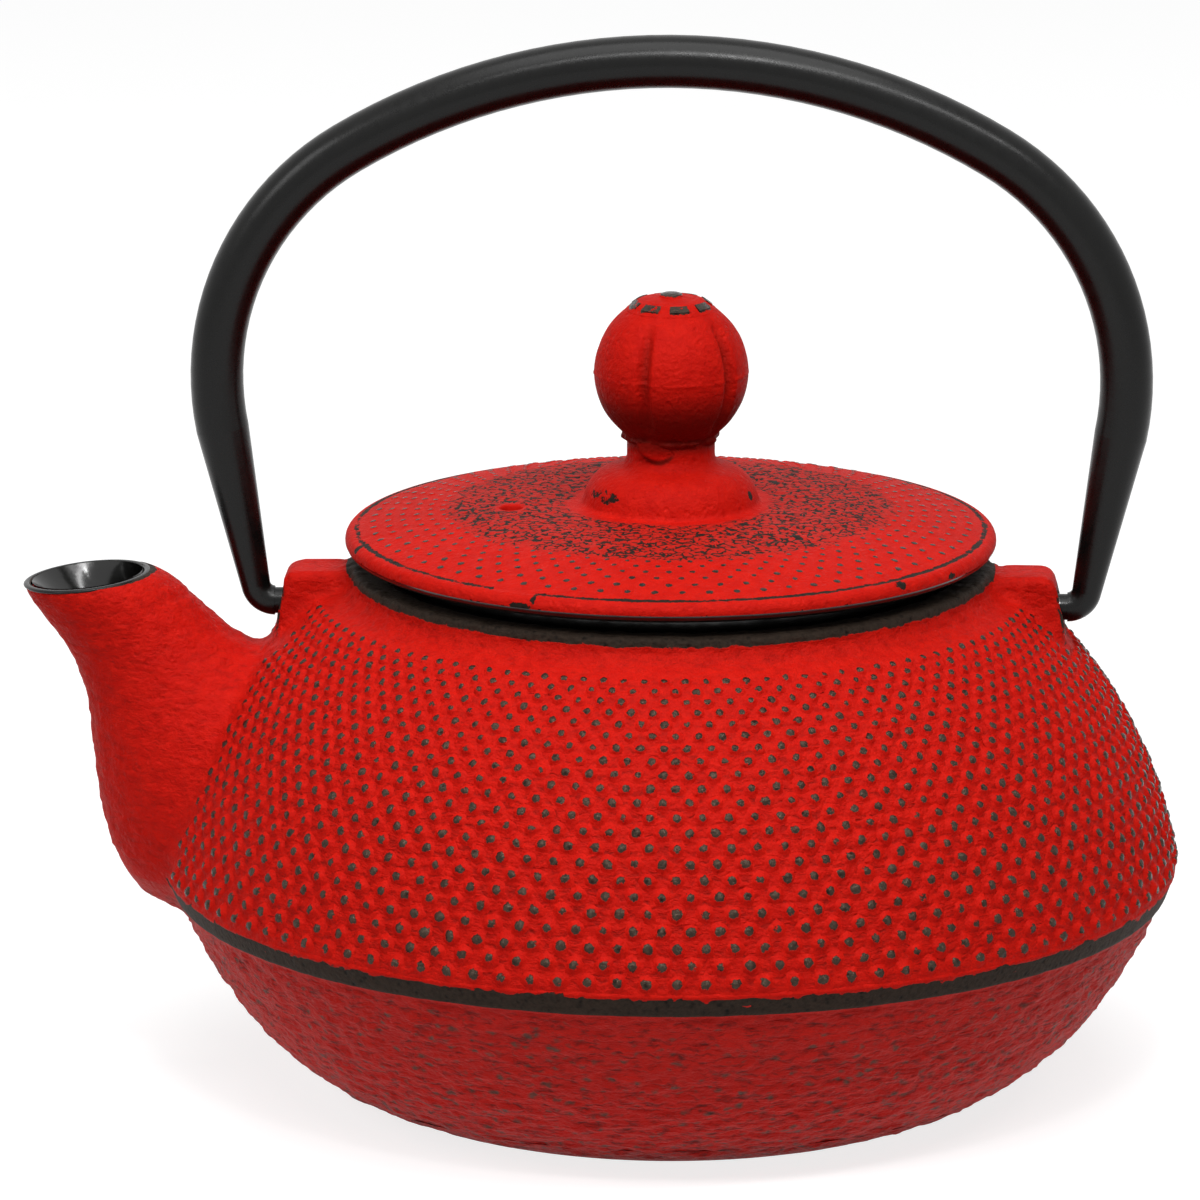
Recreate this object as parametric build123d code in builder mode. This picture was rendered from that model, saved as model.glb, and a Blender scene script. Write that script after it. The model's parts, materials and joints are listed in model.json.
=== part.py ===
"""Cast-iron teapot with a hollow spout, a loose lid, a steel infuser and a swinging bail.

Millimetres, +Z up. The origin is the centre of the flat base, the spout points along -X and the bail
swings about the X axis through the two ears.
"""

import os
from math import asin, atan2, cos, degrees, hypot, radians, sin, sqrt

from build123d import *

os.makedirs("parts", exist_ok=True)

# Pot: outer shape
base_radius = 45.0
knee_inset = 11.2
knee_height = 15.0
foot_bulge = 2.0
bowl_bulge = 0.7
ridge_radius = 77.5
ridge_height = 34.6
band_height = 2.9
band_draft = 1.2
band_lip = 0.5
ridge_edge = 0.9
shoulder_bulge = 4.16
shoulder_ledge = 5.0
shoulder_drop = 5.4
collar_radius = 49.0
collar_height = 3.8
collar_flare = 1.4
collar_round = 0.7
pot_height = 81.8

# Pot: walls and mouth
wall = 3.6
floor_thickness = 4.5
collar_wall = 4.4
seat_width = 5.6
seat_depth = 4.0
seat_thickness = 3.4

# Spout: its foot hangs a drop below the pot's top, and each section lies a reach outside the ridge and a rise
# above that foot
spout_drop = 47.2
mouth_reach = 11.9
mouth_rise = 44.4
mouth_tilt = 6.1
mouth_radius = 9.9
throat_reach = 6.7
throat_rise = 39.0
throat_tilt = 19.0
throat_half_length = 10.4
throat_half_width = 10.2
waist_reach = 1.9
waist_rise = 32.3
waist_tilt = 24.5
waist_half_length = 11.7
waist_half_width = 11.2
belly_reach = -1.6
belly_rise = 25.8
belly_tilt = 31.5
belly_half_length = 15.0
belly_half_width = 13.6
root_reach = -5.6
root_rise = 18.6
root_tilt = 40.0
root_half_length = 19.6
root_half_width = 16.6
heel_reach = -9.9
heel_rise = 12.0
heel_tilt = 41.5
heel_half_length = 21.3
heel_half_width = 18.0
inlet_reach = -19.0
inlet_rise = 3.4
inlet_tilt = 45.0
inlet_half_length = 17.7
inlet_half_width = 16.0
spout_wall = 3.2
spout_lip = 1.4

# Ears for the bail
ear_reach = 10.7
ear_width = 10.0
ear_drop = 0.9
ear_depth = 12.7
ear_taper = 0.2
ear_corner = 2.2
ear_round = 1.3

# Bail
pin_drop = 6.5
pin_radius = 2.0
pin_length = 5.0
pin_clearance = 0.1
pin_end_gap = 0.5
bail_rise = 84.2
bail_half_span = 69.2
bail_crown_radius = 95.0
bail_shoulder_radius = 41.5
bail_elbow_radius = 3.0
bail_tube_radius = 4.03
bail_neck_radius = 2.25
bail_tube_wall = 1.1
bail_neck_wall = 1.0
bail_ear_gap = 0.9

# Lid
lid_overhang = 0.7
lid_gap = 2.4
lid_rim_thickness = 3.1
lid_rim_round = 1.8
lid_rim_undercut = 1.3
lid_dome_rise = 3.8
lid_dome_bulge = 1.5
lid_thickness = 3.2
flange_clearance = 1.0
flange_thickness = 3.2
vent_radius = 1.7
vent_offset = 24.6
vent_turn = 190.0

# Boss on the lid, which carries the knob
boss_radius = 13.4
boss_height = 5.9
boss_bulge = 1.2
boss_edge = 0.8
neck_radius = 6.7
neck_fillet = 1.8
neck_fillet_sag = 0.5
neck_height = 4.5

# Knob
ball_radius = 11.8
ball_height = 10.2
rosette_radius = 6.3
rosette_height = 0.4
rosette_dome = 1.0
rosette_button_radius = 2.4
rosette_button_height = 0.4
groove_count = 5
groove_radius = 1.3
groove_depth = 0.5
groove_half_angle = 44.0
groove_turn = 33.0

# Screw that holds the knob
screw_radius = 2.0
screw_clearance = 0.2
screw_fit = 0.05
screw_grip = 9.0
screw_head_radius = 3.8
screw_head_height = 2.4
screw_slot_width = 1.0
screw_slot_depth = 1.1
washer_radius = 5.2
washer_thickness = 1.0
bore_end_gap = 1.0

# Infuser
rim_clearance = 0.5
rim_thickness = 0.6
skirt_gap = 1.6
skirt_height = 7.0
mesh_thickness = 0.5
mesh_clearance = 0.05
infuser_depth = 52.0
hoop_height = 5.0
hoop_lip = 2.6

# Sizes that follow from the ones above
knee_radius = ridge_radius - knee_inset
band_low_radius = ridge_radius - band_draft
band_low_height = ridge_height - band_height
shoulder_top_radius = collar_radius + shoulder_ledge
shoulder_top_height = pot_height - shoulder_drop
collar_foot_height = pot_height - collar_height
mouth_bore = collar_radius - collar_wall
seat_bore = mouth_bore - seat_width
seat_height = pot_height - seat_depth
seat_underside = seat_height - seat_thickness

ear_face = collar_radius + ear_reach
ear_top = pot_height - ear_drop
ear_bottom = ear_top - ear_depth
pin_height = pot_height - pin_drop

rim_top = seat_height + rim_thickness
skirt_radius = seat_bore - skirt_gap
mesh_radius = skirt_radius - rim_thickness - mesh_clearance
infuser_bottom = rim_top - infuser_depth
mesh_bottom = infuser_bottom + rim_thickness

lid_radius = collar_radius + lid_overhang
lid_rim_bottom = pot_height + lid_gap
lid_edge_height = lid_rim_bottom + lid_rim_thickness
lid_edge_radius = lid_radius - lid_rim_round
boss_foot_height = lid_edge_height + lid_dome_rise
boss_underside = boss_foot_height - lid_thickness
neck_foot_height = boss_foot_height + boss_height
knob_foot = neck_foot_height + neck_height
ball_centre = knob_foot + ball_height
flange_radius = mouth_bore - flange_clearance
flange_bore = flange_radius - flange_thickness
screw_hole = screw_radius + screw_clearance
washer_bottom = boss_underside - washer_thickness
screw_tip = knob_foot + screw_grip


def along(point, angle, distance):
    """The point that lies a distance from another, in the direction of an angle."""
    x, z = point
    return (x + distance * cos(radians(angle)), z + distance * sin(radians(angle)))


def chord_normal(start, end):
    """Angle of the normal on the right-hand side of the line from start to end."""
    return degrees(atan2(end[1] - start[1], end[0] - start[0])) - 90.0


# Turning points of the pot's outline, from the base up
base_edge = (base_radius, 0.0)
knee = (knee_radius, knee_height)
bowl_top = (band_low_radius - band_lip, band_low_height)
band_low = (band_low_radius, band_low_height)
band_top = (ridge_radius, ridge_height)
shoulder_foot = (ridge_radius, ridge_height + ridge_edge)
shoulder_top = (shoulder_top_radius, shoulder_top_height)
collar_foot = (collar_radius + collar_flare, collar_foot_height)

# The inner outline lies one wall inside the outer one
foot_normal = chord_normal(base_edge, knee)
bowl_normal = chord_normal(knee, bowl_top)
shoulder_normal = chord_normal(shoulder_foot, shoulder_top)
inner_knee = along(knee, (foot_normal + bowl_normal) / 2 + 180.0, wall)
inner_bowl_top = along(bowl_top, bowl_normal + 180.0, wall)
inner_shoulder_foot = along(shoulder_foot, 180.0, wall)
inner_shoulder_top = along(shoulder_top, shoulder_normal + 180.0, wall)


def spout_plane(reach, rise, tilt):
    """Plane across the spout, whose X axis runs from its outer edge to its inner edge."""
    return Plane(
        origin=(-ridge_radius - reach, 0, pot_height - spout_drop + rise),
        x_dir=(cos(radians(tilt)), 0, sin(radians(tilt))),
        z_dir=(-sin(radians(tilt)), 0, cos(radians(tilt))),
    )


def spout_form(lip, thickness):
    """The spout's outside when both insets are nothing, or its bore when they are the wall."""
    sections = [
        (inlet_reach, inlet_rise, inlet_tilt, inlet_half_length - thickness, inlet_half_width - thickness),
        (heel_reach, heel_rise, heel_tilt, heel_half_length - thickness, heel_half_width - thickness),
        (root_reach, root_rise, root_tilt, root_half_length - thickness, root_half_width - thickness),
        (belly_reach, belly_rise, belly_tilt, belly_half_length - thickness, belly_half_width - thickness),
        (waist_reach, waist_rise, waist_tilt, waist_half_length - thickness, waist_half_width - thickness),
        (throat_reach, throat_rise, throat_tilt, throat_half_length - thickness, throat_half_width - thickness),
        (mouth_reach, mouth_rise, mouth_tilt, mouth_radius - lip, mouth_radius - lip),
    ]
    with BuildPart() as form:
        for reach, rise, tilt, half_length, half_width in sections:
            with BuildSketch(spout_plane(reach, rise, tilt)):
                Ellipse(half_length, half_width)
        loft()
    return form.part


def ear_form(side):
    """One ear for the bail, rounded all over its outer end, with its inner end buried in the collar."""
    inner_end = mouth_bore + collar_wall / 2
    top_end = ear_face - ear_taper * (ear_top - pin_height)
    low_end = ear_face + ear_taper * (pin_height - ear_bottom)
    with BuildPart() as ear:
        with BuildSketch(Plane.XZ.offset(-ear_width / 2)):
            with BuildLine():
                Polyline(
                    (side * inner_end, ear_top),
                    (side * top_end, ear_top),
                    (side * low_end, ear_bottom),
                    (side * inner_end, ear_bottom),
                    (side * inner_end, ear_top),
                )
            make_face()
            fillet(vertices().group_by(Axis.Y)[-1].sort_by(Axis.X)[0 if side < 0 else -1], ear_corner)
        extrude(amount=ear_width)
        flanks = faces().group_by(Axis.Y)
        outline = flanks[0].edges() + flanks[-1].edges()
        fillet(outline.filter_by(lambda edge: abs(edge.center().X) > inner_end + ear_round), ear_round)
    return ear.part


def pot_outside():
    """The pot's outer shape, as a full solid without spout and ears."""
    with BuildPart() as outside:
        with BuildSketch(Plane.XZ):
            with BuildLine():
                Line((0, 0), base_edge)
                SagittaArc(base_edge, knee, -foot_bulge)
                SagittaArc(knee, bowl_top, -bowl_bulge)
                Polyline(bowl_top, band_low, band_top, shoulder_foot)
                SagittaArc(shoulder_foot, shoulder_top, -shoulder_bulge)
                Polyline(
                    shoulder_top,
                    collar_foot,
                    (collar_radius, collar_foot_height + collar_flare),
                    (collar_radius, pot_height),
                    (0, pot_height),
                    (0, 0),
                )
            make_face()
        revolve(axis=Axis.Z)
        fillet(edges().filter_by(GeomType.CIRCLE).group_by(Axis.Z)[-1], collar_round)
    return outside.part


def pot_cavity():
    """The space inside the pot, with the seat for the infuser's rim."""
    with BuildPart() as cavity:
        with BuildSketch(Plane.XZ):
            with BuildLine():
                Line((0, floor_thickness), (base_radius, floor_thickness))
                SagittaArc((base_radius, floor_thickness), inner_knee, -foot_bulge / 2)
                SagittaArc(inner_knee, inner_bowl_top, -bowl_bulge)
                Line(inner_bowl_top, inner_shoulder_foot)
                SagittaArc(inner_shoulder_foot, inner_shoulder_top, -shoulder_bulge)
                Polyline(
                    inner_shoulder_top,
                    (seat_bore, seat_underside),
                    (seat_bore, seat_height),
                    (mouth_bore, seat_height),
                    (mouth_bore, pot_height),
                    (0, pot_height),
                    (0, floor_thickness),
                )
            make_face()
        revolve(axis=Axis.Z)
    return cavity.part


def pin_holes():
    """The two blind holes for the bail's pins."""
    with BuildPart() as holes:
        for side in (-1, 1):
            with BuildSketch(Plane(origin=(side * (ear_face + pin_length), 0, pin_height), z_dir=(-side, 0, 0))):
                Circle(pin_radius + pin_clearance)
            extrude(amount=2 * pin_length + pin_end_gap)
    return holes.part


# The pot is one casting. Its nodes touch and don't overlap, so that collision stays open inside it.
with BuildPart() as pot_wall:
    add(pot_outside())
    add(pot_cavity(), mode=Mode.SUBTRACT)
    add(spout_form(spout_lip, spout_wall), mode=Mode.SUBTRACT)
    add(pin_holes(), mode=Mode.SUBTRACT)

# Floor of the pot, up to its inner face
with BuildPart() as pot_floor:
    add(pot_wall.part)
    split(bisect_by=Plane.XY.offset(floor_thickness), keep=Keep.BOTTOM)

pot_floor.part.label = "pot_floor"
export_step(pot_floor.part, "parts/pot_floor.step")

# Bowl, from the floor to the top of the ridge
with BuildPart() as pot_bowl:
    add(pot_wall.part)
    split(bisect_by=Plane.XY.offset(floor_thickness), keep=Keep.TOP)
    split(bisect_by=Plane.XY.offset(shoulder_foot[1]), keep=Keep.BOTTOM)

pot_bowl.part.label = "pot_bowl"
export_step(pot_bowl.part, "parts/pot_bowl.step")

# Shoulder, from the ridge to the underside of the seat
with BuildPart() as pot_shoulder:
    add(pot_wall.part)
    split(bisect_by=Plane.XY.offset(shoulder_foot[1]), keep=Keep.TOP)
    split(bisect_by=Plane.XY.offset(seat_underside), keep=Keep.BOTTOM)

pot_shoulder.part.label = "pot_shoulder"
export_step(pot_shoulder.part, "parts/pot_shoulder.step")

# Mouth, with the seat for the infuser and the collar round it
with BuildPart() as pot_mouth:
    add(pot_wall.part)
    split(bisect_by=Plane.XY.offset(seat_underside), keep=Keep.TOP)

pot_mouth.part.label = "pot_mouth"
export_step(pot_mouth.part, "parts/pot_mouth.step")

# Spout, outside the bowl and the shoulder
with BuildPart() as spout:
    add(spout_form(0, 0))
    add(pot_outside(), mode=Mode.SUBTRACT)
    add(spout_form(spout_lip, spout_wall), mode=Mode.SUBTRACT)

spout.part.label = "spout"
export_step(spout.part, "parts/spout.step")

# Ears that hold the bail's pins, one on the spout's side and one on the far side, clear of pot and spout
for side, ear_name in ((-1, "spout_side_ear"), (1, "far_side_ear")):
    with BuildPart() as ear:
        add(ear_form(side))
        add(pot_outside(), mode=Mode.SUBTRACT)
        add(spout_form(0, 0), mode=Mode.SUBTRACT)
        add(pin_holes(), mode=Mode.SUBTRACT)
    ear.part.label = ear_name
    export_step(ear.part, f"parts/{ear_name}.step")

# Lid: rounded rim, low dome, boss with a neck, and a flange that stands on the infuser's rim
lid_edge = (lid_edge_radius, lid_edge_height)
lid_rim_middle = (lid_radius, (lid_edge_height + lid_rim_bottom) / 2)
lid_rim_low = (lid_radius - lid_rim_undercut, lid_rim_bottom)
boss_foot = (boss_radius, boss_foot_height)
boss_wall_top = (boss_radius, boss_foot_height + boss_edge)
boss_inside = (boss_radius, boss_underside)
flange_root = (flange_bore, lid_rim_bottom)
boss_top = (neck_radius + neck_fillet, neck_foot_height)
neck_foot = (neck_radius, neck_foot_height + neck_fillet)
with BuildPart() as lid:
    with BuildSketch(Plane.XZ):
        with BuildLine():
            Polyline((screw_hole, knob_foot), (screw_hole, boss_underside), boss_inside)
            SagittaArc(boss_inside, flange_root, lid_dome_bulge)
            Polyline(
                flange_root,
                (flange_bore, rim_top),
                (flange_radius, rim_top),
                (flange_radius, lid_rim_bottom),
                lid_rim_low,
            )
            ThreePointArc(lid_rim_low, lid_rim_middle, lid_edge)
            SagittaArc(lid_edge, boss_foot, -lid_dome_bulge)
            Line(boss_foot, boss_wall_top)
            SagittaArc(boss_wall_top, boss_top, -boss_bulge)
            SagittaArc(boss_top, neck_foot, neck_fillet_sag)
            Polyline(neck_foot, (neck_radius, knob_foot), (screw_hole, knob_foot))
        make_face()
    revolve(axis=Axis.Z)
    with BuildSketch(Plane.XY.offset(rim_top)):
        with Locations((vent_offset * cos(radians(vent_turn)), vent_offset * sin(radians(vent_turn)))):
            Circle(vent_radius)
    extrude(amount=knob_foot - rim_top, mode=Mode.SUBTRACT)

lid.part.label = "lid"
export_step(lid.part, "parts/lid.step")

# Knob: grooved ball with a short foot and a rosette on its crown
ball_low = ball_centre - sqrt(ball_radius**2 - neck_radius**2)
ball_high = ball_centre + sqrt(ball_radius**2 - rosette_radius**2)
rosette_top = ball_high + rosette_height
button_foot = rosette_top + rosette_dome
button_top = button_foot + rosette_button_height
groove_end = radians(groove_half_angle)
with BuildPart() as lid_knob:
    with BuildSketch(Plane.XZ):
        with BuildLine():
            Polyline((0, knob_foot), (neck_radius, knob_foot), (neck_radius, ball_low))
            ThreePointArc((neck_radius, ball_low), (ball_radius, ball_centre), (rosette_radius, ball_high))
            Polyline(
                (rosette_radius, ball_high),
                (rosette_radius, rosette_top),
                (rosette_button_radius, button_foot),
                (rosette_button_radius, button_top),
                (0, button_top),
                (0, knob_foot),
            )
        make_face()
    revolve(axis=Axis.Z)
    for index in range(groove_count):
        turn = radians(groove_turn + index * 360.0 / groove_count)
        across = Vector(-sin(turn), cos(turn), 0)
        upper_end = Vector(cos(turn) * cos(groove_end), sin(turn) * cos(groove_end), sin(groove_end))
        groove_plane = Plane((0, 0, ball_centre), x_dir=upper_end, z_dir=upper_end.cross(across))
        with BuildSketch(groove_plane):
            with Locations((ball_radius + groove_radius - groove_depth, 0)):
                Circle(groove_radius)
        revolve(
            axis=Axis((0, 0, ball_centre), across),
            revolution_arc=2 * groove_half_angle,
            mode=Mode.SUBTRACT,
        )
    with BuildSketch(Plane.XY.offset(knob_foot)):
        Circle(screw_radius + screw_fit)
    extrude(amount=screw_grip + bore_end_gap, mode=Mode.SUBTRACT)

lid_knob.part.label = "lid_knob"
export_step(lid_knob.part, "parts/lid_knob.step")

# Screw that comes up through the lid into the knob, with a slotted head
screw_head_bottom = washer_bottom - screw_head_height
with BuildPart() as knob_screw:
    with BuildSketch(Plane.XY.offset(screw_head_bottom)):
        Circle(screw_head_radius)
    extrude(amount=screw_head_height)
    with BuildSketch(Plane.XY.offset(washer_bottom)):
        Circle(screw_radius)
    extrude(amount=screw_tip - washer_bottom)
    with BuildSketch(Plane.XY.offset(screw_head_bottom)):
        Rectangle(2 * screw_head_radius, screw_slot_width)
    extrude(amount=screw_slot_depth, mode=Mode.SUBTRACT)

knob_screw.part.label = "knob_screw"
export_step(knob_screw.part, "parts/knob_screw.step")

# Washer between the screw's head and the lid
with BuildPart() as knob_washer:
    with BuildSketch(Plane.XY.offset(washer_bottom)):
        Circle(washer_radius)
        Circle(screw_hole, mode=Mode.SUBTRACT)
    extrude(amount=washer_thickness)

knob_washer.part.label = "knob_washer"
export_step(knob_washer.part, "parts/knob_washer.step")

# Bail: a crown arc, two shoulder arcs, two straight legs that narrow, two elbows and two pins.
# The leg is the common tangent of the shoulder arc and the elbow arc.
bail_top = pin_height + bail_rise
radius_step = bail_crown_radius - bail_shoulder_radius
crown_angle = asin((bail_half_span - bail_shoulder_radius) / radius_step)
crown_centre = (0.0, bail_top - bail_crown_radius)
shoulder_centre = (
    radius_step * sin(crown_angle),
    crown_centre[1] + radius_step * cos(crown_angle),
)
elbow_centre = (ear_face + bail_ear_gap, pin_height + bail_elbow_radius)
centres_x = elbow_centre[0] - shoulder_centre[0]
centres_z = elbow_centre[1] - shoulder_centre[1]
centres_apart = hypot(centres_x, centres_z)
leg_length = sqrt(centres_apart**2 - (bail_shoulder_radius - bail_elbow_radius) ** 2)
leg_turn = asin((bail_shoulder_radius - bail_elbow_radius) / centres_apart)
leg_angle = atan2(centres_z, centres_x) - leg_turn
leg_direction = (cos(leg_angle), sin(leg_angle))
leg_side = (-leg_direction[1], leg_direction[0])
leg_top = (
    shoulder_centre[0] + bail_shoulder_radius * leg_side[0],
    shoulder_centre[1] + bail_shoulder_radius * leg_side[1],
)
leg_bottom = (
    elbow_centre[0] + bail_elbow_radius * leg_side[0],
    elbow_centre[1] + bail_elbow_radius * leg_side[1],
)
leg_slope = degrees(leg_angle) + 90.0
pin_tip = ear_face - pin_length


def bail_form(tube, neck, pin):
    """The bail as a solid rod: its outside, or its bore when the radii are those of the bore."""
    leg_plane = Plane(
        origin=(leg_top[0], 0, leg_top[1]),
        x_dir=(0, 1, 0),
        z_dir=(leg_direction[0], 0, leg_direction[1]),
    )
    elbow_plane = Plane(
        origin=(leg_bottom[0], 0, leg_bottom[1]),
        x_dir=(0, 1, 0),
        z_dir=(leg_direction[0], 0, leg_direction[1]),
    )
    with BuildPart() as rod:
        with BuildSketch(Plane(origin=(0, 0, bail_top), x_dir=(0, 1, 0), z_dir=(1, 0, 0))):
            Circle(tube)
        revolve(
            axis=Axis((crown_centre[0], 0, crown_centre[1]), (0, 1, 0)),
            revolution_arc=degrees(crown_angle),
        )
        with BuildSketch(leg_plane):
            Circle(tube)
        revolve(
            axis=Axis((shoulder_centre[0], 0, shoulder_centre[1]), (0, -1, 0)),
            revolution_arc=90.0 - degrees(crown_angle) - leg_slope,
        )
        with Locations(leg_plane):
            Cone(tube, neck, leg_length, align=(Align.CENTER, Align.CENTER, Align.MIN))
        with BuildSketch(elbow_plane):
            Circle(neck)
        revolve(
            axis=Axis((elbow_centre[0], 0, elbow_centre[1]), (0, 1, 0)),
            revolution_arc=90.0 + leg_slope,
        )
        with BuildSketch(Plane(origin=(elbow_centre[0], 0, pin_height), z_dir=(-1, 0, 0))):
            Circle(pin)
        extrude(amount=elbow_centre[0] - pin_tip)
        mirror(about=Plane.YZ)
    return rod.part


with BuildPart() as bail_handle:
    add(bail_form(bail_tube_radius, bail_neck_radius, pin_radius))
    add(
        bail_form(
            bail_tube_radius - bail_tube_wall,
            bail_neck_radius - bail_neck_wall,
            bail_neck_radius - bail_neck_wall,
        ),
        mode=Mode.SUBTRACT,
    )

bail_handle.part.label = "bail_handle"
export_step(bail_handle.part, "parts/bail_handle.step")

# Infuser rim: a flat ring that hangs on the seat, with a skirt round the mesh
with BuildPart() as infuser_rim:
    with BuildSketch(Plane.XY.offset(seat_height)):
        Circle(mouth_bore - rim_clearance)
        Circle(skirt_radius - rim_thickness, mode=Mode.SUBTRACT)
    extrude(amount=rim_thickness)
    with BuildSketch(Plane.XY.offset(rim_top - skirt_height)):
        Circle(skirt_radius)
        Circle(skirt_radius - rim_thickness, mode=Mode.SUBTRACT)
    extrude(amount=skirt_height)

infuser_rim.part.label = "infuser_rim"
export_step(infuser_rim.part, "parts/infuser_rim.step")

# Infuser floor: a mesh disc that lies on the lip of the hoop
with BuildPart() as infuser_floor:
    with BuildSketch(Plane.XY.offset(mesh_bottom)):
        Circle(mesh_radius)
    extrude(amount=mesh_thickness)

infuser_floor.part.label = "infuser_floor"
export_step(infuser_floor.part, "parts/infuser_floor.step")

# Infuser wall: a mesh tube that stands on the edge of the floor
with BuildPart() as infuser_wall:
    with BuildSketch(Plane.XY.offset(mesh_bottom + mesh_thickness)):
        Circle(mesh_radius)
        Circle(mesh_radius - mesh_thickness, mode=Mode.SUBTRACT)
    extrude(amount=rim_top - mesh_bottom - mesh_thickness)

infuser_wall.part.label = "infuser_wall"
export_step(infuser_wall.part, "parts/infuser_wall.step")

# Infuser hoop: the ring that clamps floor and wall together
with BuildPart() as infuser_hoop:
    with BuildSketch(Plane.XY.offset(infuser_bottom)):
        Circle(skirt_radius)
        Circle(skirt_radius - rim_thickness, mode=Mode.SUBTRACT)
    extrude(amount=hoop_height)
    with BuildSketch(Plane.XY.offset(infuser_bottom)):
        Circle(skirt_radius)
        Circle(mesh_radius - hoop_lip, mode=Mode.SUBTRACT)
    extrude(amount=rim_thickness)

infuser_hoop.part.label = "infuser_hoop"
export_step(infuser_hoop.part, "parts/infuser_hoop.step")
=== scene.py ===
import json
from math import atan2, cos, degrees, floor, hypot, pi, radians, sin
from random import Random

import bpy
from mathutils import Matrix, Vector, noise

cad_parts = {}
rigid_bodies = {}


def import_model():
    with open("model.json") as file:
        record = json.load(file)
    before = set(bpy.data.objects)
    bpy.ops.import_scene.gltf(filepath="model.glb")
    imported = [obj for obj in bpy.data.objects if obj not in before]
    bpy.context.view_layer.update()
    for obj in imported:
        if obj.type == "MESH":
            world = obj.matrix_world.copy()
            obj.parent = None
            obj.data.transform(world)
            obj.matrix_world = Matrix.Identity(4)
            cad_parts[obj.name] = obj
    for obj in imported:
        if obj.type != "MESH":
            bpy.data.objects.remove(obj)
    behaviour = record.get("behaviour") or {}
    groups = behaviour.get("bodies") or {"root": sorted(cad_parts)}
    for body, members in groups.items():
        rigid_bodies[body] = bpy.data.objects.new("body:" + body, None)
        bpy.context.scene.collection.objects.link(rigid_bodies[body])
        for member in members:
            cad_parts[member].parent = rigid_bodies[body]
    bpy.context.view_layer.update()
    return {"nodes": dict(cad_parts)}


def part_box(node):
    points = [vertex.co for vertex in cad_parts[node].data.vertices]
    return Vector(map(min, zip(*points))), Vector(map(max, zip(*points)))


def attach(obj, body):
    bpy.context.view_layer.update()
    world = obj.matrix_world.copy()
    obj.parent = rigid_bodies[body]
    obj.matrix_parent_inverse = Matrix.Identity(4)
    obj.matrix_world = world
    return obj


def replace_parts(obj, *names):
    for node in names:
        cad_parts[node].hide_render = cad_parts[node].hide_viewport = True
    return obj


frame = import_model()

nodes = frame["nodes"]

# Nodes of the one iron casting that is the pot
POT_NODES = (
    "pot_floor", "pot_bowl", "pot_shoulder", "pot_mouth", "spout", "spout_side_ear", "far_side_ear",
)

# Places on the pot, in metres
FLOOR_INSIDE = 0.004
FLAT_BOTTOM_TO = 0.0002
BOWL_TOP = 0.0320
BAND_LOW = 0.0317
PARTING_HEIGHT = 0.0332
BAND_TOP = 0.0346
SAND_FROM = 0.0345
SAND_FULL = 0.0365
RIDGE_RADIUS = 0.0775
RIDGE_WEAR_RADIUS = 0.0755
RIDGE_WEAR = (0.0356, 0.0340)
COLLAR_RADIUS = 0.0495
COLLAR_FOOT = 0.0780
COLLAR_WEAR = (0.0797, 0.0813)
COLLAR_TOP = 0.0818
MOUTH_BORE = 0.0446
BORE_SPARE = 0.0004
CAVITY_CORE = Vector((0, 0, 0.040))
EAR_FACE = 0.0597
EAR_FACE_SPARE = 0.0008
EAR_HALF_WIDTH = 0.0056
EAR_JOINT_REACH = 0.0024
SPOUT_SIDE = -0.060
SPOUT_LINE = [
    Vector((-0.0585, 0, 0.0380)),
    Vector((-0.0676, 0, 0.0466)),
    Vector((-0.0719, 0, 0.0532)),
    Vector((-0.0759, 0, 0.0604)),
    Vector((-0.0794, 0, 0.0669)),
    Vector((-0.0842, 0, 0.0736)),
    Vector((-0.0894, 0, 0.0790)),
]
SPOUT_NARROWS = 0.0500
WIDE_BORE = 0.0185
NARROW_BORE = 0.0125
MOUTH_TILT = radians(6.1)
MOUTH_AXIS = Vector((-sin(MOUTH_TILT), 0, cos(MOUTH_TILT)))
MOUTH_RADIUS = 0.0099
LIP_REACH = 0.013
HEEL_HALF_WIDTH = 0.0135
SPOUT_JOINT_REACH = 0.0075

# Places on the lid and the knob
LID_EDGE_RADIUS = 0.0479
LID_WEAR_FROM = 0.0460
LID_LINE_FROM = 0.0862
LID_TOP_FROM = 0.0848
LID_UNDERSIDE_TO = 0.0847
DOME_INSIDE = 0.0905
LID_CHIPS = [
    (-115, 0.0855, 0.0022, 0.0009), (-112.8, 0.0868, 0.0005, 0.0008), (-163, 0.0868, 0.0010, 0.0009),
    (-44, 0.0868, 0.0012, 0.0006), (-30, 0.0860, 0.0014, 0.0006),
]
LID_LINE_GAP = -117.5
LID_LINE_GAP_HALF_WIDTH = 4.2
LID_NAIL_RADII = [0.0466, 0.0443, 0.0420, 0.0398, 0.0377, 0.0357, 0.0339]
CRACKLE_INNER = (0.0146, 0.0172)
CRACKLE_OUTER = (0.0352, 0.0326)
VENT = Vector((-0.02423, -0.00427, 0.0905))
VENT_CLEAR = (0.0021, 0.0029)
BOSS_RADIUS = 0.0140
BOSS_FOOT_RADIUS = 0.0134
BOSS_SCUFF = Vector((-0.0098, -0.0081, 0.0938))
BOSS_PIT = Vector((0.0122, -0.0044, 0.0933))
NECK_RADIUS = 0.0090
NECK_FOOT_RADIUS = 0.0080
NECK_BORE = 0.0035
NECK_TOP = 0.1018
PAINT_RUN = Vector((-0.0018, -0.0064, 0.1014))
PAINT_RUN_HALF_WIDTH = 0.0031
BALL_CENTRE = 0.1117
GROOVES = 5
GROOVE_TURN = 34.5
GROOVE_HALF_WIDTH = 7.5
GROOVE_DEPTH = 0.00085
SEAM_HEIGHT = 0.00014
CROWN_FROM = 0.1200
ROSETTE_RADIUS = 0.0069
BUTTON_RADIUS = 0.0017
PADS = 8
PAD_TURN = -75.5
PAD_WIDTH = 31
PAD_INNER = 0.0052
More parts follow.
